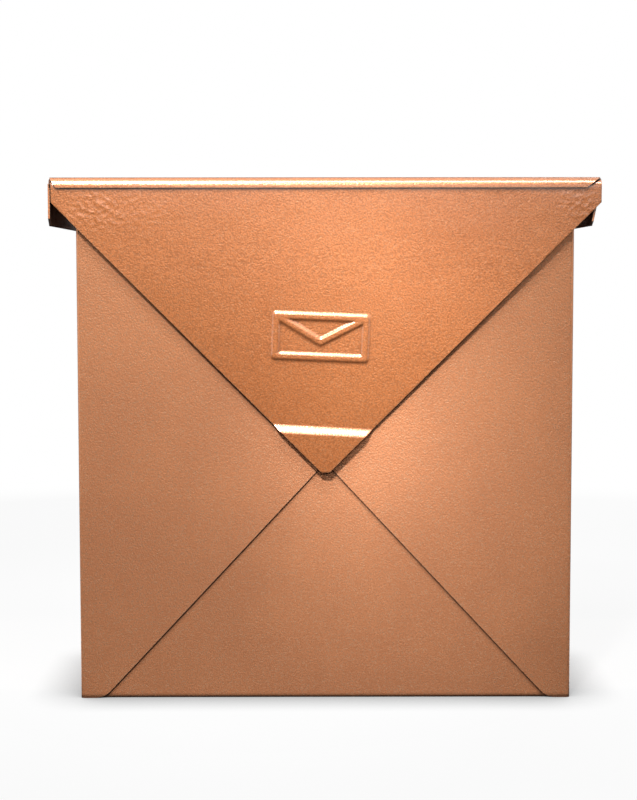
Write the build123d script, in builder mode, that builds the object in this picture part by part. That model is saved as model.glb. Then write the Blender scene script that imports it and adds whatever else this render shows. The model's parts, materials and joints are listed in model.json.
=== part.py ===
"""Wall mounted mailbox folded like an envelope, built from 1 mm sheet steel.

Frame: X to the right, Y towards the wall, Z up.  The wall plane is y = 0 and
the origin is the centre of the four wall screw holes on that plane.
"""
import os
from math import cos, radians, sin, tan

from build123d import *

os.makedirs("parts", exist_ok=True)

# Overall sizes, in millimetres
SHEET = 1.0
LID_WIDTH = 300.0
OVERALL_HEIGHT = 287.0
BODY_WIDTH = 271.5
BODY_DEPTH = 108.5
BEND_R = 2.0
TOP = OVERALL_HEIGHT / 2
BOTTOM = -OVERALL_HEIGHT / 2
MID = SHEET / 2
BEND_MID_R = BEND_R - MID

# Hinge rolled from the edges of the back and the lid
ROD_R = 2.0
ROD_CLEARANCE = 0.1
ROLL_MID_R = ROD_R + ROD_CLEARANCE + MID
ROLL_OUT_R = ROLL_MID_R + MID
ROLL_ANGLE = 300.0
AXIS_Y = -ROLL_OUT_R
AXIS_Z = TOP - ROLL_OUT_R
HINGE_LENGTH = 250.0
KNUCKLES = 7
KNUCKLE_PITCH = HINGE_LENGTH / KNUCKLES
KNUCKLE_GAP = 0.6
KNUCKLE_LENGTH = KNUCKLE_PITCH - KNUCKLE_GAP
ROLL_RELIEF = ROLL_OUT_R + 0.6
CAP_R = 3.0
CAP_BORE_R = ROD_R + 0.02
CAP_LENGTH = 5.0
CAP_DEPTH = 3.6
CAP_EDGE = 0.8

# Back panel and its wall screws
SCREW_SPAN_X = 200.0
SCREW_SPAN_Z = 190.0
SCREW_HOLE_R = 3.0
BACK_TOP = AXIS_Z - ROLL_RELIEF

# Lid: hood over the body, and the front flap fixed under its front lip
SKIRT_DROP = 26.2
SKIRT_CHAMFER = 4.0
RIGHT_SKIRT_LEAN = 11.2
LIP_DROP = 5.7
LIP_R = 4.8
LIP_FRONT = -114.0
LIP_LEFT_END = -149.4
LIP_LEFT_MITRE = 3.7
LIP_RIGHT_END = 149.2
LIP_RIGHT_MITRE = 7.7
CORNER_RELIEF = 3.5
FLAP_FACE = LIP_FRONT + SHEET + 0.05
FLAP_LEFT = -148.4
FLAP_RIGHT = 149.6
FLAP_BEND_R = 4.2
FLAP_FLANGE = 14.0
FLAP_FLANGE_HALF = 146.0
FLAP_EAR = FLAP_BEND_R - 0.65
FLAP_LEAN = 1.13
FLAP_SHOULDER_Z = TOP - 13.7
FLAP_TIP_Z = TOP - 160.7
FLAP_TIP_HALF = 2.3
FLAP_CORNER_R = 1.6
SKIRT_FRONT = FLAP_FACE + 0.4
RIGHT_SKIRT_FRONT = FLAP_FACE + SHEET + 0.95

# Pressed step that stands the flap's tip off the body as a finger pull
STEP_Z = TOP - 138.0
STEP_HEIGHT = 3.8
STEP_OUT = 2.7
STEP_TILT = 3.3
STEP_BEND_R = 1.2
STEP_LAP = 40.0
PLATE_JOIN_Z = STEP_Z + 26.0

# Folded body panels
RIM_Z = TOP - 2 * SHEET - 0.3
REAR_FLANGE = 12.0
STUB = 8.5
SEAM_BASE_X = 123.0
SEAM_APEX_Z = TOP - 155.6
SEAM_FLARE_R = 12.0
SEAM_GAP = 0.4
MOUTH_HALF = BODY_WIDTH / 2 - STUB
MOUTH_LOW_Z = 12.0
CORNER_CUT = 7.0
FLOOR_HALF = 130.0
FLOOR_FLANGE = 12.0
FLOOR_SIDE_INSET = 8.0
FLOOR_STUB = 6.0
FLOOR_FOLD_R = 1.2
BACK_FLANGE_HALF = 120.0
SEAM_LAP = 14.4
APEX_HALF = 3.0
DRAIN_R = 2.5
DRAIN_SPAN_X = 220.0
DRAIN_SPAN_Y = 70.0

knuckle_starts = [
    -HINGE_LENGTH / 2 + KNUCKLE_PITCH * index + KNUCKLE_GAP / 2 for index in range(KNUCKLES)
]
body_knuckles = knuckle_starts[0::2]
lid_knuckles = knuckle_starts[1::2]


# Back panel: flat sheet, four wall screw holes, four rolled hinge knuckles
with BuildPart() as back_panel:
    with BuildSketch(Plane.XZ):
        with Locations((0, BOTTOM)):
            Rectangle(BODY_WIDTH, BACK_TOP - BOTTOM, align=(Align.CENTER, Align.MIN))
    extrude(amount=SHEET)
    with Locations(Plane.XZ):
        with GridLocations(SCREW_SPAN_X, SCREW_SPAN_Z, 2, 2):
            Hole(SCREW_HOLE_R)
    for start in body_knuckles:
        with BuildSketch(Plane.YZ.offset(start)):
            with BuildLine():
                Line((-MID, BACK_TOP - SHEET), (-MID, AXIS_Z))
                JernArc((-MID, AXIS_Z), (0, 1), ROLL_MID_R, ROLL_ANGLE)
            trace(line_width=SHEET)
        extrude(amount=KNUCKLE_LENGTH)

# Left side panel: rear flange, side wall and the envelope's left front triangle
with BuildPart() as left_side_panel:
    wall_x = -BODY_WIDTH / 2 + MID
    flap_y = -BODY_DEPTH + MID
    with BuildSketch(Plane.XY.offset(BOTTOM)):
        with BuildLine():
            FilletPolyline(
                (wall_x + REAR_FLANGE, -SHEET - MID),
                (wall_x, -SHEET - MID),
                (wall_x, flap_y),
                (wall_x + STUB, flap_y),
                radius=BEND_MID_R,
            )
        trace(line_width=SHEET)
    extrude(amount=RIM_Z - BOTTOM)
    with BuildSketch(Plane.XZ.offset(BODY_DEPTH)):
        with BuildLine():
            FilletPolyline(
                (-MOUTH_HALF - SHEET, BOTTOM),
                (-SEAM_BASE_X, BOTTOM),
                (-SEAM_GAP / 2, SEAM_APEX_Z),
                (-SEAM_GAP / 2, MOUTH_LOW_Z),
                (-MOUTH_HALF, RIM_Z),
                (-MOUTH_HALF - SHEET, RIM_Z),
                radius=(0, SEAM_FLARE_R, 0, 0, 0, 0),
                close=True,
            )
        make_face()
    extrude(amount=-SHEET)
    # The rear top corner is cut off so the lid can swing back over it
    with BuildSketch(Plane.YZ.offset(-BODY_WIDTH / 2)):
        with BuildLine():
            Polyline(
                (0, RIM_Z - CORNER_CUT),
                (0, TOP),
                (-SHEET - CORNER_CUT, TOP),
                (-SHEET - CORNER_CUT, RIM_Z),
                (-SHEET, RIM_Z - CORNER_CUT),
                close=True,
            )
        make_face()
    extrude(amount=BODY_WIDTH / 2, mode=Mode.SUBTRACT)

# Right side panel: the left one mirrored
with BuildPart() as right_side_panel:
    mirror(left_side_panel.part, about=Plane.YZ)

# Floor panel: floor, side and rear flanges, and the envelope's lower triangle behind the side ones
with BuildPart() as floor_panel:
    floor_z = BOTTOM + MID
    front_y = -BODY_DEPTH + SHEET + MID
    with BuildSketch(Plane.YZ.offset(-FLOOR_HALF)):
        with BuildLine():
            FilletPolyline(
                (-SHEET - BEND_R, floor_z),
                (front_y, floor_z),
                (front_y, BOTTOM + FLOOR_STUB),
                radius=FLOOR_FOLD_R - MID,
            )
        trace(line_width=SHEET)
    extrude(amount=2 * FLOOR_HALF)
    with BuildSketch(Plane.YZ.offset(-BACK_FLANGE_HALF)):
        with BuildLine():
            FilletPolyline(
                (-SHEET - 2 * BEND_R, floor_z),
                (-SHEET - MID, floor_z),
                (-SHEET - MID, BOTTOM + FLOOR_FLANGE),
                radius=BEND_MID_R,
            )
        trace(line_width=SHEET)
    extrude(amount=2 * BACK_FLANGE_HALF)
    side_x = BODY_WIDTH / 2 - SHEET - MID
    with BuildSketch(Plane.XZ.offset(FLOOR_SIDE_INSET)):
        with BuildLine():
            FilletPolyline(
                (-side_x, BOTTOM + FLOOR_FLANGE),
                (-side_x, floor_z),
                (side_x, floor_z),
                (side_x, BOTTOM + FLOOR_FLANGE),
                radius=BEND_MID_R,
            )
        trace(line_width=SHEET)
    extrude(amount=BODY_DEPTH - 2 * FLOOR_SIDE_INSET)
    with BuildSketch(Plane.XZ.offset(BODY_DEPTH - SHEET)):
        lap_slope = (SEAM_APEX_Z - BOTTOM) / SEAM_BASE_X
        lap_top = SEAM_APEX_Z + SEAM_LAP
        with BuildLine():
            Polyline(
                (-FLOOR_HALF, BOTTOM + BEND_R),
                (FLOOR_HALF, BOTTOM + BEND_R),
                (FLOOR_HALF, lap_top - lap_slope * FLOOR_HALF),
                (APEX_HALF, lap_top - lap_slope * APEX_HALF),
                (-APEX_HALF, lap_top - lap_slope * APEX_HALF),
                (-FLOOR_HALF, lap_top - lap_slope * FLOOR_HALF),
                close=True,
            )
        make_face()
    extrude(amount=-SHEET)
    with Locations(Plane.XY.offset(BOTTOM)):
        with Locations((0, -BODY_DEPTH / 2)):
            with GridLocations(DRAIN_SPAN_X, DRAIN_SPAN_Y, 2, 2):
                Hole(DRAIN_R)

# Lid hood: roof with side skirts, front lip with mitred ends, rolled hinge knuckles
with BuildPart() as lid_hood:
    roof_z = TOP - MID
    skirt_x = LID_WIDTH / 2 - MID
    lip_y = LIP_FRONT + MID
    roof_front = LIP_FRONT + LIP_R
    roof_rear = AXIS_Y
    lean_in = (SKIRT_DROP - MID) * tan(radians(RIGHT_SKIRT_LEAN))
    right_fold_x = skirt_x + BEND_MID_R * (tan(radians(45 + RIGHT_SKIRT_LEAN / 2)) - 1)
    with BuildSketch(Plane.XZ.offset(-roof_rear)):
        with BuildLine():
            FilletPolyline(
                (-skirt_x, TOP - SKIRT_DROP),
                (-skirt_x, roof_z),
                (right_fold_x, roof_z),
                (right_fold_x - lean_in, TOP - SKIRT_DROP),
                radius=BEND_MID_R,
            )
        trace(line_width=SHEET)
    extrude(amount=roof_rear - SKIRT_FRONT)
    # The right skirt is folded past square, so its front edge stops behind the flap
    with BuildSketch(Plane.YZ.offset(LID_WIDTH / 2)):
        with Locations((SKIRT_FRONT, TOP - CORNER_RELIEF)):
            Rectangle(RIGHT_SKIRT_FRONT - SKIRT_FRONT, SKIRT_DROP, align=(Align.MIN, Align.MAX))
    extrude(amount=-2 * lean_in, mode=Mode.SUBTRACT)
    # Square relief at each front corner, and the chamfered lower corner of each skirt
    with BuildSketch(Plane.YZ.offset(-LID_WIDTH / 2)):
        with Locations((roof_front, TOP)):
            Rectangle(LIP_R, CORNER_RELIEF, align=(Align.MAX, Align.MAX))
        with BuildLine():
            Polyline(
                (SKIRT_FRONT, TOP - SKIRT_DROP),
                (SKIRT_FRONT + SKIRT_CHAMFER, TOP - SKIRT_DROP),
                (SKIRT_FRONT, TOP - SKIRT_DROP + SKIRT_CHAMFER),
                close=True,
            )
        make_face()
    extrude(amount=LID_WIDTH, mode=Mode.SUBTRACT)
    with BuildSketch(Plane.YZ.offset(LIP_LEFT_END)):
        with BuildLine():
            FilletPolyline(
                (roof_front + MID, roof_z),
                (lip_y, roof_z),
                (lip_y, TOP - LIP_DROP),
                radius=LIP_R - MID,
            )
        trace(line_width=SHEET)
    extrude(amount=LIP_RIGHT_END - LIP_LEFT_END)
    with BuildSketch(Plane.XZ.offset(-LIP_FRONT)):
        for end, run in ((LIP_LEFT_END, LIP_LEFT_MITRE), (LIP_RIGHT_END, -LIP_RIGHT_MITRE)):
            with BuildLine():
                Polyline((end, TOP), (end, TOP - LIP_DROP), (end + run, TOP - LIP_DROP), close=True)
            make_face()
    extrude(amount=-LIP_R, mode=Mode.SUBTRACT)
    # Clearance for the back's knuckles and the rod caps, then the lid's own knuckles
    with BuildSketch(Plane.XY.offset(TOP)):
        for start in body_knuckles:
            reach = CAP_LENGTH + KNUCKLE_GAP
            low = start - (reach if start == body_knuckles[0] else KNUCKLE_GAP)
            high = start + KNUCKLE_LENGTH + (reach if start == body_knuckles[-1] else KNUCKLE_GAP)
            with Locations(((low + high) / 2, 0)):
                Rectangle(high - low, ROLL_RELIEF - AXIS_Y, align=(Align.CENTER, Align.MAX))
    extrude(amount=-2 * SHEET, mode=Mode.SUBTRACT)
    for start in lid_knuckles:
        with BuildSketch(Plane.YZ.offset(start)):
            with BuildLine():
                Line((AXIS_Y - SHEET, roof_z), (AXIS_Y, roof_z))
                JernArc((AXIS_Y, roof_z), (1, 0), ROLL_MID_R, -ROLL_ANGLE)
            trace(line_width=SHEET)
        extrude(amount=KNUCKLE_LENGTH)

# Envelope flap: flange under the roof, leaning front plate and the stepped tip
with BuildPart() as envelope_flap:
    flange_z = TOP - SHEET - MID
    plate_y = FLAP_FACE + MID
    lean = radians(FLAP_LEAN)
    tilt = radians(STEP_TILT)
    with BuildSketch(Plane.YZ.offset(FLAP_LEFT)):
        with BuildLine():
            FilletPolyline(
                (FLAP_FACE + FLAP_FLANGE, flange_z),
                (plate_y, flange_z),
                (plate_y + (flange_z - PLATE_JOIN_Z) * tan(lean), PLATE_JOIN_Z),
                radius=FLAP_BEND_R - MID,
            )
        trace(line_width=SHEET)
    extrude(amount=FLAP_RIGHT - FLAP_LEFT)
    down = Vector(0, sin(lean), -cos(lean))
    outward = Vector(0, -cos(lean), -sin(lean))
    along = Vector(1, 0, 0) * cos(tilt) + down * sin(tilt)
    step_plane = Plane(
        origin=(0, plate_y + (flange_z - STEP_Z) * tan(lean), STEP_Z), x_dir=outward, z_dir=along
    )
    with BuildSketch(step_plane):
        with BuildLine():
            FilletPolyline(
                (0, -STEP_LAP),
                (0, -STEP_HEIGHT / 2),
                (STEP_OUT, STEP_HEIGHT / 2),
                (STEP_OUT, STEP_LAP),
                radius=STEP_BEND_R,
            )
        trace(line_width=SHEET)
    extrude(amount=FLAP_RIGHT / 2, both=True)
    with BuildSketch(Plane.XZ.offset(-LIP_FRONT + FLAP_FLANGE)):
        with BuildLine():
            FilletPolyline(
                (FLAP_LEFT, TOP),
                (FLAP_LEFT, FLAP_SHOULDER_Z),
                (-FLAP_TIP_HALF, FLAP_TIP_Z),
                (FLAP_TIP_HALF, FLAP_TIP_Z),
                (FLAP_RIGHT, FLAP_SHOULDER_Z),
                (FLAP_RIGHT, TOP),
                radius=(0, FLAP_CORNER_R, FLAP_CORNER_R, FLAP_CORNER_R, FLAP_CORNER_R, 0),
                close=True,
            )
        make_face()
    extrude(amount=-3 * FLAP_FLANGE, mode=Mode.INTERSECT)
    # The flange is narrower than the plate so that it clears the skirts' bends
    with BuildSketch(Plane.XY.offset(TOP)):
        for side, align in ((-1, Align.MAX), (1, Align.MIN)):
            with Locations((side * FLAP_FLANGE_HALF, FLAP_FACE + FLAP_EAR)):
                Rectangle(FLAP_FLANGE, FLAP_FLANGE, align=(align, Align.MIN))
    extrude(amount=-3 * SHEET, mode=Mode.SUBTRACT)

# Hinge rod, and one push-on cap at each end of it
with BuildPart() as hinge_rod:
    rod_length = HINGE_LENGTH + 2 * CAP_DEPTH
    with BuildSketch(Plane.YZ.offset(-rod_length / 2)):
        with Locations((AXIS_Y, AXIS_Z)):
            Circle(ROD_R)
    extrude(amount=rod_length)

with BuildPart() as rod_caps:
    for side in (-1, 1):
        face = Plane((side * HINGE_LENGTH / 2, AXIS_Y, AXIS_Z), x_dir=(0, 1, 0), z_dir=(side, 0, 0))
        with BuildSketch(face):
            Circle(CAP_R)
        extrude(amount=CAP_LENGTH)
        with BuildSketch(face):
            Circle(CAP_BORE_R)
        extrude(amount=CAP_DEPTH + ROD_CLEARANCE, mode=Mode.SUBTRACT)
    rims = rod_caps.edges().filter_by(GeomType.CIRCLE).sort_by(Axis.X)
    fillet([rims[0], rims[-1]], CAP_EDGE)

for name, built in (
    ("back_panel", back_panel),
    ("left_side_panel", left_side_panel),
    ("right_side_panel", right_side_panel),
    ("floor_panel", floor_panel),
    ("lid_hood", lid_hood),
    ("envelope_flap", envelope_flap),
    ("hinge_rod", hinge_rod),
    ("rod_caps", rod_caps),
):
    built.part.label = name
    export_step(built.part, f"parts/{name}.step")
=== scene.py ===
"""Looks of the envelope mailbox: coated panels, pressed flap, hinge steel and the studio."""
from __future__ import annotations

import json
import logging
import math
from abc import ABC, abstractmethod
from collections.abc import Callable
from dataclasses import dataclass
from enum import Enum

import bpy
import numpy as np
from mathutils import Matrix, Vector, noise

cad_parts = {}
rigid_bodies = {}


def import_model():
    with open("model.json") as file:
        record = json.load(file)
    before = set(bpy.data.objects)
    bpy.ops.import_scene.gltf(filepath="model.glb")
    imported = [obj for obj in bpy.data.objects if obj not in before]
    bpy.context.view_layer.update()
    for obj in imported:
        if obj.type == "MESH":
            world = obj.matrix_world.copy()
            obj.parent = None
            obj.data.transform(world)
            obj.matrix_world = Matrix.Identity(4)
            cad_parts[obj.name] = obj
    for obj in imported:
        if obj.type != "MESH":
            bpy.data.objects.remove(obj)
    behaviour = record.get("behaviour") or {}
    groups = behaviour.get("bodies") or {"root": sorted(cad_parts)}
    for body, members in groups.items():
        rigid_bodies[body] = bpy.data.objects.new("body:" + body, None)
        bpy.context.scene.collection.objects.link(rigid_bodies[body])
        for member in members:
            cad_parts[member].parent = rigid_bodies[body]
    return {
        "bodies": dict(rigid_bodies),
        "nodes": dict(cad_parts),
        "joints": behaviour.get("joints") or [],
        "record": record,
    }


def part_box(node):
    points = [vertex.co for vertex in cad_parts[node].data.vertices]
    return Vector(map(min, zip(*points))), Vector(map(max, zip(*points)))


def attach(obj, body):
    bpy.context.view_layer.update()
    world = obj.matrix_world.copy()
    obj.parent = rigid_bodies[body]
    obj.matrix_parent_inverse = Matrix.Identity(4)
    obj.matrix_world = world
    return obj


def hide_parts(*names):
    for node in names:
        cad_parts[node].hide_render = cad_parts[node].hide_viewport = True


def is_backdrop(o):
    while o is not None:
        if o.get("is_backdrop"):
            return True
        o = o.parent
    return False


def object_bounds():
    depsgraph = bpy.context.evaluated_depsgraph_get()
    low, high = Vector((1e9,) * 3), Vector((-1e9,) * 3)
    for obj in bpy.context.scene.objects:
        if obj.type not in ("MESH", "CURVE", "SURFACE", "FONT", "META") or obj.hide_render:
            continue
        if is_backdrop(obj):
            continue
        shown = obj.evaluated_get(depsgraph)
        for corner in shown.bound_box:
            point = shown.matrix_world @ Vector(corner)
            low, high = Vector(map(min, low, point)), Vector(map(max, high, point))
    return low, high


Colour = tuple[float, float, float]
Point = tuple[float, float, float]
Span = tuple[float, float]
# What an input of a node takes: a link from a socket, a number, or a point or colour
Feed = bpy.types.NodeSocket | float | Point

LOG = logging.getLogger("mailbox")
MM = 0.001
UP: Point = (0.0, 0.0, 1.0)
WHITE: Colour = (1.0, 1.0, 1.0)
# Middle of the box, which its inner faces look towards
BOX_CENTRE: Point = (0.0, -0.055, 0.0)


class Body(Enum):
    """The two rigid bodies of the mailbox."""

    BOX = "box"
    LID = "lid"


class Slot(Enum):
    """Material slots of the record."""

    BODY = "body_coat"
    LID = "lid_coat"
    STEEL = "rod_steel"


class Socket(Enum):
    """Kinds of socket on a node group."""

    VALUE = "NodeSocketFloat"
    VECTOR = "NodeSocketVector"


class Effect(Enum):
    """Effects that the finishes are made of, with the names of their node groups."""

    PEEL = "orange_peel"
    FLAKE = "metal_flake"
    CLOUD = "tone_cloud"
    WEAR = "edge_wear"
    SEAM_SHADE = "crease"
    INNER_SHADE = "inner_side"
    SWELL = "sheet_swell"


def deselect_all() -> None:
    """Leaves every object unselected, in object mode."""
    if bpy.context.mode != "OBJECT":
        bpy.ops.object.mode_set(mode="OBJECT")
    bpy.ops.object.select_all(action="DESELECT")


def read_places(mesh: bpy.types.Mesh) -> np.ndarray:
    """Reads where a mesh's vertices lie.

    Args:
        mesh: The mesh.

    Returns:
        One row of x, y and z per vertex.
    """
    places = np.empty(len(mesh.vertices) * 3)
    mesh.vertices.foreach_get("co", places)
    return places.reshape(-1, 3)


def write_places(mesh: bpy.types.Mesh, places: np.ndarray) -> None:
    """Moves a mesh's vertices to the rows of places."""
    mesh.vertices.foreach_set("co", places.ravel())
    mesh.update()


def select_edges(mesh: bpy.types.Mesh, chosen: Callable[[Vector], bool]) -> None:
    """Selects the edges whose two ends are chosen, and no face.

    Args:
        mesh: The mesh, in object mode.
        chosen: Test of a vertex's place.
    """
    for vertex in mesh.vertices:
        vertex.select = chosen(vertex.co)
    for edge in mesh.edges:
        edge.select = all(mesh.vertices[index].select for index in edge.vertices)
    for face in mesh.polygons:
        face.select = False


class NodeSheet:
    """A node tree with short calls to add nodes and feed their inputs."""

    # Width that each node takes up where the tree is drawn
    COLUMN = 190

    def __init__(self, tree: bpy.types.NodeTree) -> None:
        """Keeps the tree that nodes are added to."""
        self.tree = tree

    def feed(self, target: bpy.types.NodeSocket, value: Feed) -> None:
        """Links a socket to an input, or sets the input.

        Args:
            target: The input.
            value: The socket, number, point or colour for it.
        """
        if isinstance(value, bpy.types.NodeSocket):
            self.tree.links.new(value, target)
        elif target.type == "RGBA":
            target.default_value = (*value, 1.0)
        else:
            target.default_value = value

    def add(
        self, kind: str, feeds: dict[int | str, Feed] | None = None, **settings: object
    ) -> bpy.types.Node:
        """Adds a node.

        Args:
            kind: Blender's node type name.
            feeds: What the node's inputs take, by their numbers or names.
            settings: Node properties by name.

        Returns:
            The new node.
        """
        node = self.tree.nodes.new(kind)
        node.location = (len(self.tree.nodes) * self.COLUMN, 0)
        for name, value in settings.items():
            setattr(node, name, value)
        for key, value in (feeds or {}).items():
            self.feed(node.inputs[key], value)
        return node

    def math(
        self, operation: str, first: Feed, second: Feed, clamp: bool = False
    ) -> bpy.types.NodeSocket:
        """Adds a Math node of two operands, held to 0 and 1 if clamped; gives its result."""
        feeds = {0: first, 1: second}
        return self.add("ShaderNodeMath", feeds, operation=operation, use_clamp=clamp).outputs[0]

    def mix(self, mask: bpy.types.NodeSocket, low: Feed, high: Feed) -> bpy.types.NodeSocket:
        """Adds a mix from the low colour, at mask 0, to the high one; gives the colour."""
        # Inputs 1 to 5 of the node are for other kinds of mix
        feeds = {0: mask, 6: low, 7: high}
        return self.add("ShaderNodeMix", feeds, data_type="RGBA").outputs[2]

    def ramp(
        self, value: bpy.types.NodeSocket, span: Span, gives: Span = (0.0, 1.0)
    ) -> bpy.types.NodeSocket:
        """Adds a smooth map of a value from one span to another; gives the mapped value."""
        feeds = dict(enumerate((value, *span, *gives)))
        return self.add("ShaderNodeMapRange", feeds, interpolation_type="SMOOTHSTEP").outputs[0]

    def blend(
        self, share: bpy.types.NodeSocket, first: bpy.types.Node, second: bpy.types.Node
    ) -> bpy.types.NodeSocket:
        """Adds a blend of two shaders by the share of the second; gives the blended shader."""
        feeds = {0: share, 1: first.outputs[0], 2: second.outputs[0]}
        return self.add("ShaderNodeMixShader", feeds).outputs[0]

    def finish(self, shader: bpy.types.NodeSocket, kind: str = "ShaderNodeOutputMaterial") -> None:
        """Adds the output node and links the shader to its surface."""
        self.add(kind, {"Surface": shader})


def empty_material(name: str) -> tuple[bpy.types.Material, NodeSheet]:
    """Makes a material without nodes.

    Args:
        name: The material's name.

    Returns:
        The material and the sheet of its tree.
    """
    made = bpy.data.materials.new(name)
    made.use_nodes = True
    made.node_tree.nodes.clear()
    return made, NodeSheet(made.node_tree)


class EffectGroups:
    """Shader node groups that several finishes share, each built once."""

    # Pebbles of the coat: how much closer they lie than the dimples, and the height of their tops
    PEBBLE_RATIO = 1.25
    PEBBLE_TOP = 0.7
    # Random values of the cells that are bright and dark flakes
    BRIGHT_SPAN: Span = (0.62, 0.98)
    DARK_SPAN: Span = (0.6, 0.98)
    # Noise from the darkest to the lightest tone of a cloud
    TONE_SPAN: Span = (0.3, 0.7)
    # Worn edges: their width, the turn that counts as an edge and how patchy they are
    EDGE_WIDTH = 0.6 * MM
    EDGE_TURN: Span = (0.995, 0.9)
    BREAK_SPAN: Span = (0.35, 0.62)
    BREAK_SHARE: Span = (0.35, 1.0)
    # How closed in a point of a seam is, for the painted shade there, and how far a face looks
    # inwards, for the painted shade of the inner faces
    SEAM_OPEN: Span = (0.98, 0.68)
    INNER_SPAN: Span = (2.0 * MM, -8.0 * MM)
    # Faces that count as the front, the way a swell tips them, and the flap's bow by height
    FRONT_SPAN: Span = (-0.7, -0.95)
    SWELL_LEAN: Point = (-0.34, 0.0, 0.94)
    BOW_SPAN: Span = (-0.03, 0.14)
    BOW_SHARE: Span = (-1.0, 0.6)

    def __init__(self) -> None:
        """Builds the groups."""
        self.trees = {
            Effect.PEEL: self._orange_peel(),
            Effect.FLAKE: self._metal_flake(),
            Effect.CLOUD: self._tone_cloud(),
            Effect.WEAR: self._edge_wear(),
            Effect.SEAM_SHADE: self._seam_shade(),
            Effect.INNER_SHADE: self._inner_shade(),
            Effect.SWELL: self._sheet_swell(),
        }

    @staticmethod
    def _new(
        effect: Effect,
        vectors: tuple[str, ...],
        values: dict[str, float],
        outputs: tuple[str, ...],
        gives: Socket = Socket.VALUE,
    ) -> tuple[
        bpy.types.NodeTree, NodeSheet, bpy.types.bpy_prop_collection, bpy.types.bpy_prop_collection
    ]:
        """Makes an empty group.

        Args:
            effect: The effect that the group is for.
            vectors: Names of the inputs that take vectors.
            values: Names of the inputs that take numbers, with what they are at first.
            outputs: Names of the outputs.
            gives: Kind of all the outputs.

        Returns:
            The tree, its sheet, the sockets that it is given and the sockets of its results.
        """
        tree = bpy.data.node_groups.new(effect.value, "ShaderNodeTree")
        add = tree.interface.new_socket
        for label in vectors:
            add(label, in_out="INPUT", socket_type=Socket.VECTOR.value)
        for label, value in values.items():
            socket = add(label, in_out="INPUT", socket_type=Socket.VALUE.value)
            socket.default_value = value
        for label in outputs:
            add(label, in_out="OUTPUT", socket_type=gives.value)
        sheet = NodeSheet(tree)
        source, sink = sheet.add("NodeGroupInput"), sheet.add("NodeGroupOutput")
        return tree, sheet, source.outputs, sink.inputs

    def _orange_peel(self) -> bpy.types.NodeTree:
        """Builds the pebbled skin of a powder coat: broad dimples with fine pebbles on them.

        Returns:
            The group, with a Height output.
        """
        tree, sheet, given, result = self._new(
            Effect.PEEL, ("Place",), {"Dimples": 0.0, "Grain": 0.0}, ("Height",)
        )
        place, dimples = given["Place"], given["Dimples"]
        broad = sheet.add(
            "ShaderNodeTexNoise",
            {"Vector": place, "Scale": dimples, "Detail": 1.5, "Roughness": 0.45},
        )
        close = sheet.math("MULTIPLY", dimples, self.PEBBLE_RATIO)
        pebbles = sheet.add(
            "ShaderNodeTexVoronoi",
            {"Vector": place, "Scale": close, "Smoothness": 0.6},
            feature="SMOOTH_F1",
        )
        raised = sheet.math("SUBTRACT", self.PEBBLE_TOP, pebbles.outputs["Distance"])
        grain = sheet.math("MULTIPLY", raised, given["Grain"])
        sheet.feed(result["Height"], sheet.math("ADD", broad.outputs[0], grain))
        return tree

    def _metal_flake(self) -> bpy.types.NodeTree:
        """Builds the speckle of metal flakes in the coat.

        Returns:
            The group, with Bright and Dark masks.
        """
        tree, sheet, given, result = self._new(
            Effect.FLAKE, ("Place",), {"Cells": 0.0}, ("Bright", "Dark")
        )
        feeds = {"Vector": given["Place"], "Scale": given["Cells"]}
        cells = sheet.add("ShaderNodeTexVoronoi", feeds, feature="F1")
        split = sheet.add("ShaderNodeSeparateColor", {0: cells.outputs["Color"]}).outputs
        sheet.feed(result["Bright"], sheet.ramp(split[0], self.BRIGHT_SPAN))
        sheet.feed(result["Dark"], sheet.ramp(split[1], self.DARK_SPAN))
        return tree

    def _tone_cloud(self) -> bpy.types.NodeTree:
        """Builds the slow change of tone over a sprayed coat.

        Returns:
            The group, with a Tone output around 0.5.
        """
        tree, sheet, given, result = self._new(
            Effect.CLOUD, ("Place",), {"Clouds": 14.0}, ("Tone",)
        )
        cloud = sheet.add(
            "ShaderNodeTexNoise",
            {"Vector": given["Place"], "Scale": given["Clouds"], "Detail": 4.0, "Roughness": 0.6},
        )
        sheet.feed(result["Tone"], sheet.ramp(cloud.outputs[0], self.TONE_SPAN))
        return tree

    def _edge_wear(self) -> bpy.types.NodeTree:
        """Builds the thin bright line where the coat draws back from a sheet's cut edge.

        Returns:
            The group, with a Mask output.
        """
        tree, sheet, given, result = self._new(
            Effect.WEAR, ("Place",), {"Breaks": 160.0}, ("Mask",)
        )
        bevel = sheet.add("ShaderNodeBevel", {"Radius": self.EDGE_WIDTH}, samples=4)
        shape = sheet.add("ShaderNodeNewGeometry")
        feeds = {0: bevel.outputs[0], 1: shape.outputs["Normal"]}
        turn = sheet.add("ShaderNodeVectorMath", feeds, operation="DOT_PRODUCT")
        edge = sheet.ramp(turn.outputs["Value"], self.EDGE_TURN)
        feeds = {"Vector": given["Place"], "Scale": given["Breaks"], "Detail": 3.0}
        breaks = sheet.add("ShaderNodeTexNoise", feeds)
        patchy = sheet.ramp(breaks.outputs[0], self.BREAK_SPAN, self.BREAK_SHARE)
        sheet.feed(result["Mask"], sheet.math("MULTIPLY", edge, patchy, clamp=True))
        return tree

    def _seam_shade(self) -> bpy.types.NodeTree:
        """Builds the mask of painted shade along the seams between sheets and in other closed-in
        gaps.

        Returns:
            The group, with a Mask output.
        """
        tree, sheet, given, result = self._new(Effect.SEAM_SHADE, (), {"Reach": 3.0 * MM}, ("Mask",))
        sky = sheet.add("ShaderNodeAmbientOcclusion", {"Distance": given["Reach"]}, samples=8)
        sheet.feed(result["Mask"], sheet.ramp(sky.outputs["AO"], self.SEAM_OPEN))
        return tree

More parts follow.
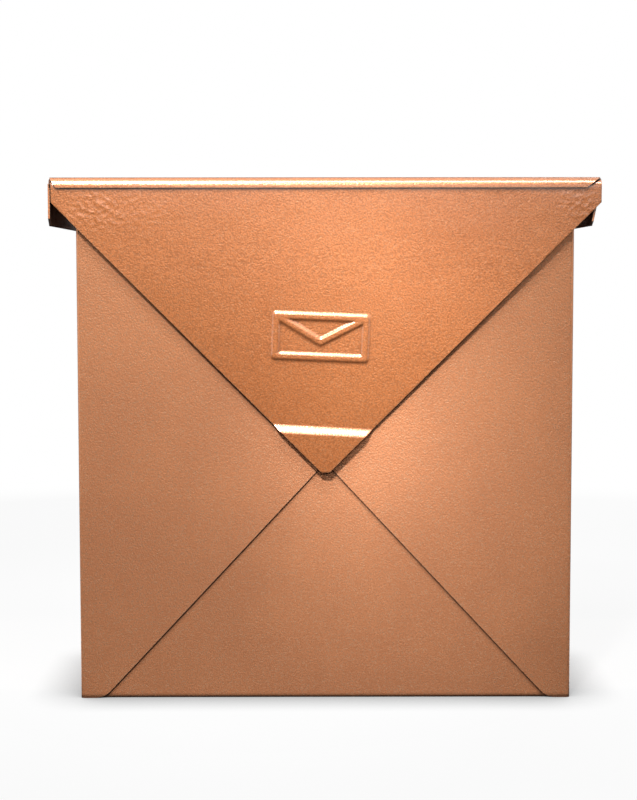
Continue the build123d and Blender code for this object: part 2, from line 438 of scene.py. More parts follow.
    def _inner_shade(self) -> bpy.types.NodeTree:
        """Builds the mask of the faces that look into the box, which are painted near-black as
        painted shade and given a duller finish without a coat.

        Returns:
            The group, with a Mask output.
        """
        tree, sheet, given, result = self._new(Effect.INNER_SHADE, ("Place", "Facing"), {}, ("Mask",))
        feeds = {0: given["Place"], 1: BOX_CENTRE}
        away = sheet.add("ShaderNodeVectorMath", feeds, operation="SUBTRACT")
        feeds = {0: away.outputs[0], 1: given["Facing"]}
        facing = sheet.add("ShaderNodeVectorMath", feeds, operation="DOT_PRODUCT")
        sheet.feed(result["Mask"], sheet.ramp(facing.outputs["Value"], self.INNER_SPAN))
        return tree

    def _sheet_swell(self) -> bpy.types.NodeTree:
        """Builds the unevenness of the front sheets: a swell in their middle, and the flap's bow.

        Returns:
            The group, with a Normal output.
        """
        tree, sheet, given, result = self._new(
            Effect.SWELL,
            ("Place", "Facing", "Centre"),
            {"Reach": 0.0, "Swell": 0.0, "Bow": 0.0},
            ("Normal",),
            Socket.VECTOR,
        )
        place = sheet.add("ShaderNodeSeparateXYZ", {0: given["Place"]}).outputs
        facing = sheet.add("ShaderNodeSeparateXYZ", {0: given["Facing"]}).outputs
        front = sheet.ramp(facing["Y"], self.FRONT_SPAN)
        flat = sheet.add("ShaderNodeCombineXYZ", {"X": place["X"], "Z": place["Z"]})
        feeds = {0: flat.outputs[0], 1: given["Centre"]}
        away = sheet.add("ShaderNodeVectorMath", feeds, operation="DISTANCE")
        share = sheet.math("DIVIDE", away.outputs["Value"], given["Reach"])
        swell = sheet.math("MULTIPLY", sheet.ramp(share, (1.0, 0.0)), given["Swell"])
        height = sheet.ramp(place["Z"], self.BOW_SPAN, self.BOW_SHARE)
        bow = sheet.math("MULTIPLY", height, given["Bow"])
        normal = sheet.add("ShaderNodeNewGeometry").outputs["Normal"]
        for lean, amount in ((self.SWELL_LEAN, swell), (UP, bow)):
            feeds = {0: lean, "Scale": sheet.math("MULTIPLY", amount, front)}
            tip = sheet.add("ShaderNodeVectorMath", feeds, operation="SCALE")
            feeds = {0: normal, 1: tip.outputs[0]}
            normal = sheet.add("ShaderNodeVectorMath", feeds, operation="ADD").outputs[0]
        unit = sheet.add("ShaderNodeVectorMath", {0: normal}, operation="NORMALIZE")
        sheet.feed(result["Normal"], unit.outputs[0])
        return tree


@dataclass(frozen=True)
class CoatFinish:
    """Copper powder coat: a metallic colour under a clear, slightly pebbled skin.

    The peel is the depth of the pebbles in millimetres. The swell and the bow are the greatest
    tips of the sheet in degrees.
    """

    name: str
    base: Colour
    shade: Colour
    spark: Colour
    rim: Colour
    # Near-black colour of the painted shade along seams and gaps and on the faces that look into
    # the box
    inside: Colour
    metallic: float
    roughness: float
    specular: float
    coat: float
    coat_roughness: float
    coat_ior: float
    dimples: float
    peel: float
    grain: float
    cells: float
    flake_bright: float
    flake_dark: float
    # Strength of the painted shade in the hollows of the pebbled skin
    pit_shade: float
    swell: float
    swell_centre: Point
    swell_reach: float
    bow: float
    pit_shade_span: Span = (0.9, 0.45)
    speck_and_pit_shade_tone: float = 0.45
    rim_weight: float = 0.55
    # Strength of the painted shade along seams and closed-in gaps
    seam_shade_weight: float = 0.85
    flake_gloss: float = 0.1
    inner_dull: float = 0.4

    def _effects(
        self, sheet: NodeSheet, groups: EffectGroups
    ) -> dict[Effect, bpy.types.bpy_prop_collection]:
        """Adds the effects with the coat's own values.

        Args:
            sheet: The material's sheet.
            groups: The shared effects.

        Returns:
            Each effect's output sockets.
        """
        origin = sheet.add("ShaderNodeTexCoord").outputs
        values = {
            Effect.PEEL: {"Dimples": self.dimples, "Grain": self.grain},
            Effect.FLAKE: {"Cells": self.cells},
            Effect.SWELL: {
                "Centre": self.swell_centre,
                "Reach": self.swell_reach,
                "Swell": math.tan(math.radians(self.swell)),
                "Bow": math.tan(math.radians(self.bow)),
            },
        }
        made = {}
        for effect, tree in groups.trees.items():
            node = sheet.add("ShaderNodeGroup", values.get(effect), node_tree=tree)
            for label, source in (("Place", "Object"), ("Facing", "Normal")):
                if label in node.inputs:
                    sheet.feed(node.inputs[label], origin[source])
            made[effect] = node.outputs
        return made

    def _colour(
        self, sheet: NodeSheet, effects: dict[Effect, bpy.types.bpy_prop_collection]
    ) -> bpy.types.NodeSocket:
        """Mixes the coat's colour from its effects.

        Args:
            sheet: The material's sheet.
            effects: Each effect's output sockets.

        Returns:
            The colour's socket.
        """
        tone = sheet.mix(effects[Effect.CLOUD]["Tone"], self.shade, self.base)
        # Painted shade: the hollows of the pebbled skin are darkened, and so are the dark flakes,
        # which are the coat's own speckle
        pit = sheet.ramp(effects[Effect.PEEL]["Height"], self.pit_shade_span)
        hollow_shade = sheet.math("MULTIPLY", pit, self.pit_shade)
        dull = sheet.math("MULTIPLY", effects[Effect.FLAKE]["Dark"], self.flake_dark)
        dark = sheet.math("MAXIMUM", dull, hollow_shade)
        tone = sheet.mix(dark, tone, tuple(self.speck_and_pit_shade_tone * part for part in self.shade))
        for effect, mask, weight, colour in (
            (Effect.FLAKE, "Bright", self.flake_bright, self.spark),
            (Effect.WEAR, "Mask", self.rim_weight, self.rim),
            # Painted shade: seams and closed-in gaps take the near-black inside colour
            (Effect.SEAM_SHADE, "Mask", self.seam_shade_weight, self.inside),
        ):
            share = sheet.math("MULTIPLY", effects[effect][mask], weight)
            tone = sheet.mix(share, tone, colour)
        # Painted shade: faces that look into the box take the near-black inside colour
        return sheet.mix(effects[Effect.INNER_SHADE]["Mask"], tone, self.inside)

    def material(self, groups: EffectGroups) -> bpy.types.Material:
        """Builds the finish's material.

        Args:
            groups: The shared effects.

        Returns:
            The material.
        """
        made, sheet = empty_material(self.name)
        effects = self._effects(sheet, groups)
        inner = effects[Effect.INNER_SHADE]["Mask"]
        outer = sheet.math("SUBTRACT", 1.0, inner)
        gloss = sheet.math("MULTIPLY", effects[Effect.FLAKE]["Bright"], -self.flake_gloss)
        rough = sheet.math("ADD", gloss, self.roughness)
        dull = sheet.math("MULTIPLY", inner, self.inner_dull)
        bump = sheet.add(
            "ShaderNodeBump",
            {
                "Strength": 1.0,
                "Distance": self.peel * MM,
                "Height": effects[Effect.PEEL]["Height"],
                "Normal": effects[Effect.SWELL]["Normal"],
            },
        )
        shader = sheet.add(
            "ShaderNodeBsdfPrincipled",
            {
                "Base Color": self._colour(sheet, effects),
                "Metallic": sheet.math("MULTIPLY", outer, self.metallic),
                "Roughness": sheet.math("ADD", rough, dull, clamp=True),
                "Specular IOR Level": self.specular,
                "Coat Weight": sheet.math("MULTIPLY", outer, self.coat),
                "Coat Roughness": self.coat_roughness,
                "Coat IOR": self.coat_ior,
                "Normal": bump.outputs[0],
            },
        )
        sheet.finish(shader.outputs[0])
        return made


@dataclass(frozen=True)
class SteelFinish:
    """Zinc plated steel, drawn along the hinge."""

    name: str
    base: Colour
    shade: Colour
    roughness: float
    drawn: Point = (0.06, 1.0, 1.0)
    lines: float = 2600.0
    line_span: Span = (0.3, 0.7)
    gloss_span: Span = (-0.08, 0.1)
    clouds: float = 60.0
    scratch: float = 0.05 * MM
    scratch_weight: float = 0.4

    def material(self, groups: EffectGroups) -> bpy.types.Material:
        """Builds the finish's material.

        Args:
            groups: The shared effects.

        Returns:
            The material.
        """
        made, sheet = empty_material(self.name)
        place = sheet.add("ShaderNodeTexCoord").outputs["Object"]
        drawn = sheet.add("ShaderNodeMapping", {"Vector": place, "Scale": self.drawn})
        feeds = {"Vector": drawn.outputs[0], "Scale": self.lines, "Detail": 3.0}
        lines = sheet.add("ShaderNodeTexNoise", feeds).outputs[0]
        feeds = {"Place": place, "Clouds": self.clouds}
        cloud = sheet.add("ShaderNodeGroup", feeds, node_tree=groups.trees[Effect.CLOUD])
        gloss = tuple(self.roughness + step for step in self.gloss_span)
        feeds = {"Strength": self.scratch_weight, "Distance": self.scratch, "Height": lines}
        bump = sheet.add("ShaderNodeBump", feeds)
        shader = sheet.add(
            "ShaderNodeBsdfPrincipled",
            {
                "Base Color": sheet.mix(cloud.outputs["Tone"], self.shade, self.base),
                "Metallic": 1.0,
                "Roughness": sheet.ramp(lines, self.line_span, gloss),
                "Normal": bump.outputs[0],
            },
        )
        sheet.finish(shader.outputs[0])
        return made


BODY_COAT = CoatFinish(
    name="body_copper_coat",
    base=(0.75, 0.302, 0.139),
    shade=(0.67, 0.267, 0.125),
    spark=(0.85, 0.50, 0.30),
    rim=(0.70, 0.42, 0.27),
    # inside is the near-black painted shade of seams, gaps and inner faces
    inside=(0.085, 0.040, 0.022),
    metallic=0.4,
    roughness=0.34,
    specular=0.15,
    coat=0.15,
    coat_roughness=0.25,
    coat_ior=1.6,
    dimples=950.0,
    peel=0.09,
    grain=0.8,
    cells=1700.0,
    flake_bright=0.36,
    flake_dark=0.04,
    pit_shade=0.16,
    swell=8.0,
    swell_centre=(0.020, 0.0, -0.012),
    swell_reach=0.09,
    bow=0.0,
)
LID_COAT = CoatFinish(
    name="lid_copper_coat",
    base=(0.735, 0.246, 0.079),
    shade=(0.665, 0.214, 0.066),
    spark=(0.92, 0.48, 0.25),
    # inside is the near-black painted shade of seams, gaps and inner faces
    rim=(0.75, 0.45, 0.28),
    inside=(0.085, 0.040, 0.022),
    metallic=0.35,
    roughness=0.34,
    specular=0.5,
    coat=1.0,
    coat_roughness=0.19,
    coat_ior=1.75,
    dimples=950.0,
    peel=0.10,
    grain=0.9,
    cells=1500.0,
    flake_bright=0.22,
    flake_dark=0.06,
    pit_shade=0.46,
    swell=4.6,
    swell_centre=(0.035, 0.0, 0.085),
    swell_reach=0.16,
    bow=3.5,
)
ROD_ZINC = SteelFinish(
    name="rod_zinc", base=(0.66, 0.65, 0.62), shade=(0.45, 0.45, 0.44), roughness=0.32
)
FINISHES = {Slot.BODY: BODY_COAT, Slot.LID: LID_COAT, Slot.STEEL: ROD_ZINC}


@dataclass
class PressedEnvelope:
    """Generic envelope sign pressed into the flap: a frame with the fold lines of its flap."""

    centre_x: float = -2.6 * MM
    drop: float = 86.7 * MM
    width: float = 54.0 * MM
    height: float = 27.0 * MM
    stroke: float = 5.0 * MM
    flat: float = 2.2 * MM
    raised: float = 1.0 * MM
    tilt: float = math.radians(-2.4)
    fold_depth: float = 0.62

    def strokes(self) -> list[tuple[Vector, Vector]]:
        """Gives the centre lines of the sign's strokes, about its own centre.

        Returns:
            Start and end of each stroke.
        """
        across = (self.width - self.stroke) / 2
        up = (self.height - self.stroke) / 2
        places = ((-across, -up), (across, -up), (across, up), (-across, up))
        corners = [Vector(place) for place in places]
        fold = Vector((0.0, up - 2 * up * self.fold_depth))
        frame = [(corners[index], corners[(index + 1) % 4]) for index in range(4)]
        return frame + [(corners[3], fold), (fold, corners[2])]

    def lift(self, x: np.ndarray, z: np.ndarray, top: float) -> np.ndarray:
        """Gives how far the sheet is pressed out at points of the flap.

        Args:
            x: Points' places across the flap.
            z: Points' heights.
            top: Height of the lid's top.

        Returns:
            The pressed height at each point.
        """
        dx = x - self.centre_x
        dz = z - (top - self.drop)
        along = dx * math.cos(self.tilt) + dz * math.sin(self.tilt)
        above = -dx * math.sin(self.tilt) + dz * math.cos(self.tilt)
        nearest = np.full(x.shape, np.inf)
        for start, end in self.strokes():
            run = end - start
            share = ((along - start.x) * run.x + (above - start.y) * run.y) / run.length_squared
            share = np.clip(share, 0.0, 1.0)
            away = np.hypot(along - start.x - share * run.x, above - start.y - share * run.y)
            nearest = np.minimum(nearest, away)
        slope = (self.stroke / 2 - nearest) / ((self.stroke - self.flat) / 2)
        slope = np.clip(slope, 0.0, 1.0)
        return self.raised * slope * slope * (3 - 2 * slope)


@dataclass(frozen=True)
class Ruck:
    """Oval patch of the flap that was rucked when it was folded."""

    x: float
    z: float
    half_width: float
    half_height: float
    rise: float


@dataclass(frozen=True)
class Ripple:
    """Noise over the flap: how close it is across and up, and which slice of it is taken."""

    across: float
    up: float
    layer: float

    def at(self, x: float, z: float) -> float:
        """Gives the ripple at a point of the flap."""
        return noise.noise(Vector((x * self.across, self.layer, z * self.up)))


@dataclass
class FlapSheet:
    """Pointed front flap of the lid: one pressed sheet with a flange, a lean and a stepped tip."""

    sign: PressedEnvelope
    top: float
    sheet: float = 1.0 * MM
    face: float = -112.95 * MM
    left: float = -148.4 * MM
    right: float = 149.6 * MM
    shoulder_drop: float = 13.7 * MM
    tip_drop: float = 160.7 * MM
    tip_half: float = 2.3 * MM
    tip_cut: float = 0.25 * MM
    lean: float = math.radians(1.13)
    # Step: its size, the softness of its bends, and how far the rows of the grid follow its slant
    step_drop: float = 138.0 * MM
    step_height: float = 3.8 * MM
    step_out: float = 2.7 * MM
    step_tilt: float = math.radians(3.3)
    step_soft: float = 0.5 * MM
    soft_reach: float = 1.6
    soft_rise: float = 0.4
    slant_reach: float = 26.0 * MM
    slant_hold: float = 0.35
    slant_half: float = 50.0 * MM
    # Top bend and the flange behind it
    bend: float = 4.2 * MM
    bend_steps: int = 7
    bend_keep: float = 0.2
    flange: float = 9.77 * MM
    flange_half: float = 146.0 * MM
    # Unevenness: slow and quick ripples, calm near the top bend, and the rucked corners
    slow: Ripple = Ripple(across=22.0, up=26.0, layer=3.1)
    slow_rise: float = 0.10 * MM
    quick: Ripple = Ripple(across=75.0, up=110.0, layer=8.4)
    quick_rise: float = 0.035 * MM
    calm_drop: float = 4.0 * MM
    calm_run: float = 6.0 * MM
    rucked: tuple[Ruck, ...] = (
        Ruck(x=-0.126, z=0.126, half_width=0.017, half_height=0.013, rise=0.24 * MM),
        Ruck(x=-0.106, z=0.123, half_width=0.030, half_height=0.015, rise=0.10 * MM),
        Ruck(x=0.138, z=0.129, half_width=0.014, half_height=0.013, rise=0.15 * MM),
    )
    fold: Ripple = Ripple(across=210.0, up=270.0, layer=5.0)
    fold_top: float = 0.55
    fold_slope: float = 2.2
    crumb: Ripple = Ripple(across=400.0, up=440.0, layer=1.7)
    crumb_share: float = 0.35
    # Mesh: size of its faces, margins, tolerances, and the bevel and shading of its edges
    pitch: float = 1.2 * MM
    spare_rows: int = 3
    row_gap: float = 0.6
    sign_margin: Span = (3.0 * MM, 4.0 * MM)
    near: float = 0.05 * MM
    level: float = 0.01 * MM
    weld: float = 0.005 * MM
    edge: float = 0.16 * MM
    edge_angle: float = math.radians(62.0)
    smooth_angle: float = math.radians(50.0)
    probe_z: float = 0.1

    def _bend_axis(self) -> Vector:
        """Gives the top bend's axis.

        Returns:
            The axis' point at the middle of the flap.
        """
        turn = math.pi / 2 + self.lean
        run = (self.bend - self.sheet / 2) * math.tan(turn / 2)
        return Vector((0.0, self.face + self.sheet / 2 + run, self.top - self.sheet - self.bend))

    def _step_offset(self, x: np.ndarray, z: np.ndarray) -> np.ndarray:
        """Gives how far below the step's middle line points of the flap lie."""
        middle = self.top - self.step_drop
        return -x * math.sin(self.step_tilt) - (z - middle) * math.cos(self.step_tilt)

    def _levels(self) -> list[float]:
        """Lists the heights of the grid's rows, closer together at the step.

        Returns:
            Heights from the tip upwards, before the rows are slanted along the step.
        """
        high = self.top - self.sheet - self.bend - self.bend * math.sin(self.lean)
        low = self.top - self.tip_drop - self.spare_rows * self.pitch
        middle = self.top - self.step_drop
        half = self.step_height / 2
        close = [
            middle + side * half + shift * self.soft_reach * self.step_soft
            for side in (-1, 1)
            for shift in (-1.0, -0.5, 0.0, 0.5, 1.0)
        ]
        close += [middle - half / 3, middle + half / 3]
        count = round((high - low) / self.pitch)
        even = [low + (high - low) * index / count for index in range(count + 1)]
        gap = self.row_gap * self.pitch
        keep = [level for level in even if all(abs(level - other) > gap for other in close)]
        return sorted(keep + close)

    def _wrinkle(self, x: float, z: float) -> float:
        """Gives the slight hammered unevenness of the sheet at a point.

        Args:
            x: Place across the flap.
            z: Height.

        Returns:
            Displacement towards the front.
        """
        calm = min(1.0, max(0.0, (self.top - self.calm_drop - z) / self.calm_run))
        rise = self.slow_rise * self.slow.at(x, z) + self.quick_rise * self.quick.at(x, z)
        for ruck in self.rucked:
            away = math.hypot((x - ruck.x) / ruck.half_width, (z - ruck.z) / ruck.half_height)
            if away < 1.0:
                ridge = max(0.0, self.fold_top - abs(self.fold.at(x, z)) * self.fold_slope)
                ridge += self.crumb_share * self.crumb.at(x, z)
                rise += (1.0 - away * away) * ruck.rise * ridge
        return calm * rise

    def _cut(self, point: Span, normal: Span) -> None:
        """Cuts the flat grid along a line seen from the front and drops what lies beyond it.

        Args:
            point: A point of the line, across and up.
            normal: Direction of the part that is dropped.
        """
        bpy.ops.mesh.select_all(action="SELECT")
        bpy.ops.mesh.bisect(
            plane_co=(point[0], 0.0, point[1]),
            plane_no=(normal[0], 0.0, normal[1]),
            clear_outer=True,
            use_fill=False,
        )

    def _flat_outline(self) -> bpy.types.Object:
        """Lays out the flap flat, as a fine grid cut to the outline.

        Returns:
            The flat sheet, in the plane y = 0 and in edit mode.
        """
        levels = self._levels()
        columns = round((self.right - self.left) / self.pitch)
        deselect_all()
        bpy.ops.mesh.primitive_grid_add(
            x_subdivisions=columns,
            y_subdivisions=len(levels) - 1,
            size=1.0,
            rotation=(math.pi / 2, 0.0, 0.0),
        )
        flap = bpy.context.object
        bpy.ops.object.transform_apply(location=True, rotation=True, scale=True)
        places = read_places(flap.data)
        rows = np.rint((places[:, 2] + 0.5) * (len(levels) - 1)).astype(int)
        places[:, 0] = self.left + (places[:, 0] + 0.5) * (self.right - self.left)
        height = np.array(levels)[rows]
        away = np.abs(height - (self.top - self.step_drop))
        slant = np.clip(1.0 - away / self.slant_reach + self.slant_hold, 0.0, 1.0)
        inside = np.clip(places[:, 0], -self.slant_half, self.slant_half)
        places[:, 2] = height - slant * inside * math.tan(self.step_tilt)
        places[:, 1] = 0.0
        write_places(flap.data, places)
        bpy.ops.object.mode_set(mode="EDIT")
        shoulder = self.top - self.shoulder_drop
        tip = self.top - self.tip_drop
        self._cut((0.0, tip), (0.0, -1.0))
        for side, end in ((-1, self.left), (1, self.right)):
            run = Vector((abs(end) - self.tip_half, shoulder - tip)).normalized()
            self._cut((end, shoulder), (side * run.y, -run.x))
            blunt = Vector((side * run.y, -run.x - 1.0)).normalized()
            corner = Vector((side * self.tip_half, tip)) - blunt * self.tip_cut
            self._cut(tuple(corner), tuple(blunt))
        return flap

    def _refine(self, flap: bpy.types.Object) -> None:
        """Divides the faces under the pressed sign and the rucked corners, to press them smoothly.

        Args:
            flap: The flat sheet, in edit mode.
        """
        bpy.ops.mesh.select_all(action="DESELECT")
        bpy.ops.object.mode_set(mode="OBJECT")
        sign = self.sign
        wide = sign.width / 2 + self.sign_margin[0]
        high = sign.height / 2 + self.sign_margin[1]
        fields = [(sign.centre_x, self.top - sign.drop, wide, high)]
        fields += [(ruck.x, ruck.z, ruck.half_width, ruck.half_height) for ruck in self.rucked]
        for face in flap.data.polygons:
            face.select = any(
                abs(face.center.x - x) < half_width and abs(face.center.z - z) < half_height
                for x, z, half_width, half_height in fields
            )
        bpy.ops.object.mode_set(mode="EDIT")
        bpy.ops.mesh.subdivide(number_cuts=1)
        bpy.ops.object.mode_set(mode="OBJECT")

    def _press(self, flap: bpy.types.Object) -> None:
        """Presses the flat sheet to its lean, step, sign and slight unevenness.

        Args:
            flap: The flat sheet, in object mode.
        """
        places = read_places(flap.data)
        x, z = places[:, 0], places[:, 2]
        drop = self.top - 1.5 * self.sheet - z
        middle = self.face + self.sheet / 2 * (1 - 1 / math.cos(self.lean))
        y = middle + drop * math.tan(self.lean)
        start = self._step_offset(x, z) + self.step_height / 2
        slope = self.step_out / self.step_height
        rise = np.clip(start, 0.0, self.step_height) * slope
        for corner, side in ((0.0, 1.0), (self.step_height, -1.0)):
            away = np.abs(start - corner) / (self.soft_reach * self.step_soft)
            near = np.clip(1.0 - away, 0.0, 1.0)
            rise += side * slope * self.soft_rise * self.step_soft * near * near
        y = y - rise - self.sign.lift(x, z, self.top)
        y -= np.array([self._wrinkle(float(a), float(b)) for a, b in zip(x, z)])
        places[:, 1] = y
        write_places(flap.data, places)

    def _fold_flange(self, flap: bpy.types.Object) -> None:
        """Folds the top of the sheet over to the flange that lies under the roof.

        Args:
            flap: The pressed sheet.
        """
        mesh = flap.data
        axis = self._bend_axis()
        high = max(vertex.co.z for vertex in mesh.vertices)
        select_edges(mesh, lambda place: place.z > high - self.level)
        bpy.ops.object.mode_set(mode="EDIT")
        bpy.ops.mesh.select_mode(type="EDGE")
        bpy.ops.mesh.spin(
            steps=self.bend_steps, angle=math.pi / 2 + self.lean, center=axis, axis=(1.0, 0.0, 0.0)
        )
        bpy.ops.mesh.select_all(action="DESELECT")
        bpy.ops.mesh.select_mode(type="FACE")
        bpy.ops.object.mode_set(mode="OBJECT")
        behind = axis.y - self.bend_keep * self.bend
        for face in mesh.polygons:
            face.select = abs(face.center.x) > self.flange_half and face.center.y > behind
        bpy.ops.object.mode_set(mode="EDIT")
        bpy.ops.mesh.delete(type="FACE")
        bpy.ops.mesh.select_mode(type="EDGE")
        bpy.ops.object.mode_set(mode="OBJECT")
        crown = self.top - self.sheet - self.near
        select_edges(
            mesh,
            lambda place: place.z > crown
            and abs(place.y - axis.y) < self.near
            and abs(place.x) < self.flange_half,
        )
        bpy.ops.object.mode_set(mode="EDIT")
        bpy.ops.mesh.extrude_region_move(TRANSFORM_OT_translate={"value": (0.0, self.flange, 0.0)})
        bpy.ops.mesh.select_all(action="SELECT")
        bpy.ops.mesh.remove_doubles(threshold=self.weld)
        bpy.ops.mesh.normals_make_consistent(inside=False)
        bpy.ops.object.mode_set(mode="OBJECT")

    def build(self) -> bpy.types.Object:
        """Builds the flap.

        Returns:
            The finished flap, riding on the lid in place of its solid.
        """
        flap = self._flat_outline()
        flap.name = "flap_sheet"
        self._refine(flap)
        self._press(flap)
        self._fold_flange(flap)
        probe = Vector((0.0, self.face, self.probe_z))
        middle = min(flap.data.polygons, key=lambda face: (face.center - probe).length)
        if middle.normal.y > 0:
            flap.data.flip_normals()
        wall = flap.modifiers.new("wall", "SOLIDIFY")
        wall.thickness = self.sheet
        wall.offset = -1.0
        wall.use_even_offset = True
        edges = flap.modifiers.new("edges", "BEVEL")
        edges.width = self.edge
        edges.segments = 2
        edges.limit_method = "ANGLE"
        edges.angle_limit = self.edge_angle
        deselect_all()
        flap.select_set(True)
        bpy.context.view_layer.objects.active = flap
        bpy.ops.object.modifier_apply(modifier="wall")
        bpy.ops.object.modifier_apply(modifier="edges")
        bpy.ops.object.shade_smooth_by_angle(angle=self.smooth_angle)
        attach(flap, Body.LID.value)
        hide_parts("envelope_flap")
        return flap

    def dress(self, flap: bpy.types.Object, coat: bpy.types.Material) -> None:
        """Coats the flap."""
        flap.data.materials.clear()
        flap.data.materials.append(coat)


@dataclass(frozen=True)
class CoatedShell:
    """Pieces of one body whose solids are shown as they are, under one finish."""

    body: Body
    slot: Slot
    nodes: tuple[str, ...]

    def dress(self, frame: dict, coat: bpy.types.Material) -> None:
        """Puts the finish on each piece.

        Args:
            frame: The loaded frame.
            coat: The finish's material.
        """
        for name in self.nodes:
            piece = frame["nodes"][name]
            if not piece.material_slots:
                piece.data.materials.append(coat)
            for slot in piece.material_slots:
                slot.material = coat
            LOG.info("dressed %s of the %s with %s", name, self.body.value, coat.name)


SHELLS = (
    CoatedShell(
        Body.BOX, Slot.BODY, ("back_panel", "left_side_panel", "right_side_panel", "floor_panel")
    ),
    CoatedShell(Body.LID, Slot.LID, ("lid_hood",)),
    CoatedShell(Body.BOX, Slot.STEEL, ("hinge_rod", "rod_caps")),
)


@dataclass(frozen=True)
class Lamp(ABC):
    """A studio lamp: where it stands, the point that it faces and its power in watts."""

    name: str
    place: Point
    target: Point
    power: float

    @abstractmethod
    def _light(self) -> bpy.types.Light:
        """Makes the light of this kind of lamp."""

    def hang(self) -> bpy.types.Object:
        """Hangs the lamp in the scene.

        Returns:
            The lamp object.
        """
        light = self._light()
        light.energy = self.power
        lamp = bpy.data.objects.new(self.name, light)
        lamp.location = self.place
        aim = Vector(self.target) - Vector(self.place)
        lamp.rotation_euler = aim.to_track_quat("-Z", "Y").to_euler()
        bpy.context.scene.collection.objects.link(lamp)
        return lamp


@dataclass(frozen=True)
class SoftBox(Lamp):
    """A soft box of a given width and height."""

    size: Span

    def _light(self) -> bpy.types.Light:
        """Makes a rectangular light.

        Returns:
            The light.
        """
        light = bpy.data.lights.new(self.name, "AREA")
        light.shape = "RECTANGLE"
        light.size, light.size_y = self.size
        return light


@dataclass(frozen=True)
class BeamLamp(Lamp):
    """A lamp whose beam, of a full angle in degrees, fades out softly towards its rim."""

    cone: float
    bulb: float

    def _light(self) -> bpy.types.Light:
        """Makes a spot light with a soft rim.

        Returns:
            The light.
        """
        light = bpy.data.lights.new(self.name, "SPOT")
        light.spot_size = math.radians(self.cone)
        light.spot_blend = 1.0
        light.shadow_soft_size = self.bulb
        return light


LAMPS = (
    BeamLamp(
        "key", (-0.36, -1.30, 1.22), (-0.065, -0.11, 0.040), power=111.0, cone=18.5, bulb=0.08
    ),
    SoftBox("top_box", (0.0, -0.50, 0.93), (0.0, -0.11, 0.05), power=7.2, size=(0.80, 0.25)),
    SoftBox("front_box", (0.0, -0.75, 0.45), (0.0, -0.11, 0.05), power=0.9, size=(1.00, 0.70)),
    SoftBox("eye_box", (0.06, -1.0, 0.32), (0.03, -0.11, 0.05), power=0.75, size=(0.60, 0.30)),
    SoftBox("rear_box", (0.3, 1.2, 0.7), (0.0, 0.0, 0.0), power=10.0, size=(0.9, 0.9)),
    BeamLamp(
        "accent", (-0.105, -0.75, 0.62), (0.050, -0.11, -0.005), power=23.0, cone=15.5, bulb=0.05
    ),
)


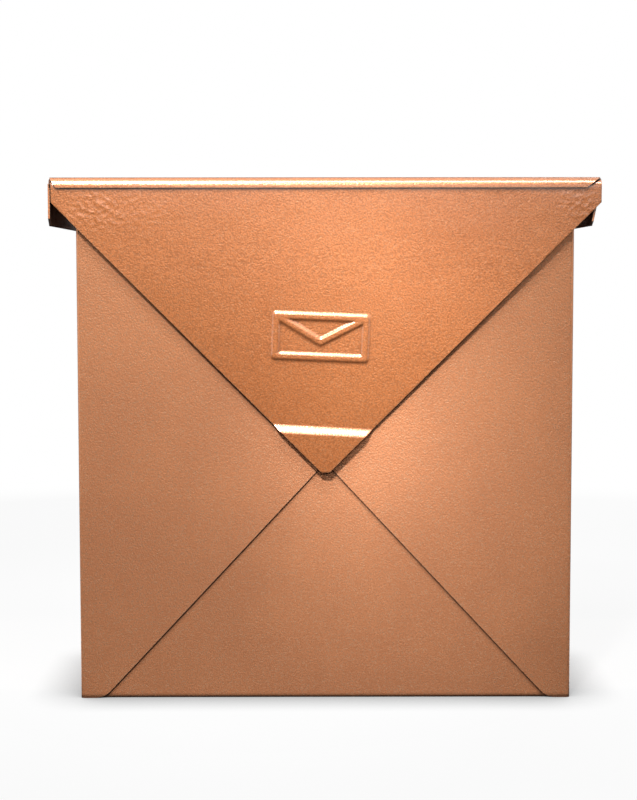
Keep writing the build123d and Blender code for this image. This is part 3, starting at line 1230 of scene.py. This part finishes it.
@dataclass
class Studio:
    """White studio: floor, cards, lamps, world and the camera at the photographed view."""

    floor_z: float
    # Camera
    eye: Point = (-0.0073, -1.014, 0.0906)
    pitch: float = 4.31
    yaw: float = 0.23
    roll: float = 0.06
    lens: float = 74.54
    sensor: float = 36.0
    near_clip: float = 0.01
    # Light that the world casts on the object
    fill: float = 0.08
    # Floor: its size and tone, how white it is shown near and far, and its painted shade under the
    # box
    floor_radius: float = 30.0
    floor_tone: float = 0.85
    near_white: float = 0.9
    far_span: Span = (0.25, 0.9)
    contact_reach: float = 0.032
    # Dark cards: their size, their gap above the floor and their tone
    card_size: Span = (3.0, 1.7)
    card_gap: float = 0.3 * MM
    card_tone: float = 0.05

    def camera(self) -> bpy.types.Object:
        """Places the camera.

        Returns:
            The camera object.
        """
        data = bpy.data.cameras.new("studio_camera")
        data.lens = self.lens
        data.sensor_width = self.sensor
        data.sensor_fit = "AUTO"
        data.clip_start = self.near_clip
        camera = bpy.data.objects.new("studio_camera", data)
        camera.location = self.eye
        turns = (90.0 - self.pitch, self.roll, -self.yaw)
        camera.rotation_euler = tuple(math.radians(turn) for turn in turns)
        bpy.context.scene.collection.objects.link(camera)
        bpy.context.scene.camera = camera
        return camera

    @staticmethod
    def _shown_white(sheet: NodeSheet) -> bpy.types.NodeSocket:
        """Gives a mask of the rays that show the white background.

        Args:
            sheet: The sheet that the mask is for.

        Returns:
            The mask's socket.
        """
        path = sheet.add("ShaderNodeLightPath").outputs
        seen = sheet.math("MAXIMUM", path["Is Camera Ray"], path["Is Glossy Ray"])
        return sheet.math("MAXIMUM", seen, path["Is Transmission Ray"])

    def world(self) -> None:
        """Sets a white world with a low fill light."""
        world = bpy.data.worlds.new("studio_world")
        bpy.context.scene.world = world
        world.use_nodes = True
        world.node_tree.nodes.clear()
        sheet = NodeSheet(world.node_tree)
        light = sheet.add("ShaderNodeBackground", {"Color": WHITE, "Strength": self.fill})
        white = sheet.add("ShaderNodeBackground", {"Color": WHITE, "Strength": 1.0})
        shown = sheet.blend(self._shown_white(sheet), light, white)
        sheet.finish(shown, "ShaderNodeOutputWorld")

    def floor(self) -> bpy.types.Object:
        """Lays the white floor that the box stands on and that takes its shadow, partly cast by
        the lamps and partly painted where the box closes it in.

        Returns:
            The floor object.
        """
        deselect_all()
        bpy.ops.mesh.primitive_circle_add(
            vertices=96,
            radius=self.floor_radius,
            fill_type="NGON",
            location=(0.0, 0.0, self.floor_z),
        )
        floor = bpy.context.object
        floor.name = "studio_floor"
        bpy.ops.object.transform_apply(location=True, rotation=True, scale=True)
        paper, sheet = empty_material("studio_paper")
        place = sheet.add("ShaderNodeTexCoord").outputs["Object"]
        reach = sheet.add("ShaderNodeVectorMath", {0: place}, operation="LENGTH")
        far = sheet.ramp(reach.outputs["Value"], self.far_span)
        matt = sheet.add("ShaderNodeBsdfDiffuse", {"Color": (self.floor_tone,) * 3})
        # Painted contact shadow: the floor's white glow dims by ambient occlusion near the box
        feeds = {"Distance": self.contact_reach}
        contact = sheet.add("ShaderNodeAmbientOcclusion", feeds, samples=12)
        feeds = {"Color": WHITE, "Strength": contact.outputs["AO"]}
        glow = sheet.add("ShaderNodeEmission", feeds)
        camera = sheet.add("ShaderNodeLightPath").outputs["Is Camera Ray"]
        near = sheet.math("MULTIPLY", camera, self.near_white)
        mirrored = sheet.math("MULTIPLY", self._shown_white(sheet), far)
        sheet.finish(sheet.blend(sheet.math("MAXIMUM", mirrored, near), matt, glow))
        floor.data.materials.append(paper)
        floor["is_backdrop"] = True
        return floor

    def flag(self, name: str, away: float, reach: float) -> bpy.types.Object:
        """Stands up a dark card with a foot, which gives the coat something dark to mirror.

        Args:
            name: The card's name.
            away: Where it stands along the depth.
            reach: How far its foot reaches along the depth.

        Returns:
            The card object.
        """
        wide, high = self.card_size
        middle = self.floor_z + high / 2 + self.card_gap
        deselect_all()
        bpy.ops.mesh.primitive_plane_add(size=1.0)
        card = bpy.context.object
        card.name = name
        bpy.ops.object.mode_set(mode="EDIT")
        bpy.ops.mesh.select_all(action="SELECT")
        bpy.ops.transform.resize(value=(wide, high, 1.0))
        bpy.ops.transform.rotate(
            value=math.pi / 2, orient_axis="X", center_override=(0.0, 0.0, 0.0)
        )
        bpy.ops.transform.translate(value=(0.0, away, middle))
        bpy.ops.object.mode_set(mode="OBJECT")
        select_edges(card.data, lambda place: place.z < middle)
        bpy.ops.object.mode_set(mode="EDIT")
        bpy.ops.mesh.select_mode(type="EDGE")
        bpy.ops.mesh.extrude_region_move(TRANSFORM_OT_translate={"value": (0.0, reach, 0.0)})
        bpy.ops.object.mode_set(mode="OBJECT")
        felt, sheet = empty_material(name)
        matt = sheet.add("ShaderNodeBsdfDiffuse", {"Color": (self.card_tone,) * 3})
        sheet.finish(matt.outputs[0])
        card.data.materials.append(felt)
        card.visible_camera = False
        card.visible_shadow = False
        card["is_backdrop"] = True
        return card

    def build(self) -> None:
        """Builds the studio."""
        bpy.context.scene.view_settings.view_transform = "Standard"
        self.floor()
        self.flag("front_card", away=-1.5, reach=1.41)
        self.flag("rear_card", away=1.0, reach=-0.9)
        self.world()
        for lamp in LAMPS:
            lamp.hang()
        self.camera()


def as_lists(box: tuple) -> list[list[float]]:
    """Turns a box's two corners into plain lists of numbers."""
    return [[float(part) for part in corner] for corner in box]


def main() -> None:
    """Loads the frame, dresses the solids, builds the flap and sets the studio."""
    logging.basicConfig(level=logging.INFO, format="%(name)s: %(message)s")
    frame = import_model()
    solid_box = as_lists(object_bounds())
    groups = EffectGroups()
    coats = {slot: finish.material(groups) for slot, finish in FINISHES.items()}
    for shell in SHELLS:
        shell.dress(frame, coats[shell.slot])
    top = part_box("lid_hood")[1][2]
    sheet = FlapSheet(sign=PressedEnvelope(), top=top)
    flap = sheet.build()
    sheet.dress(flap, coats[Slot.LID])
    LOG.info("built %s with %d faces", flap.name, len(flap.data.polygons))
    Studio(floor_z=solid_box[0][2]).build()


if __name__ == "__main__":
    main()
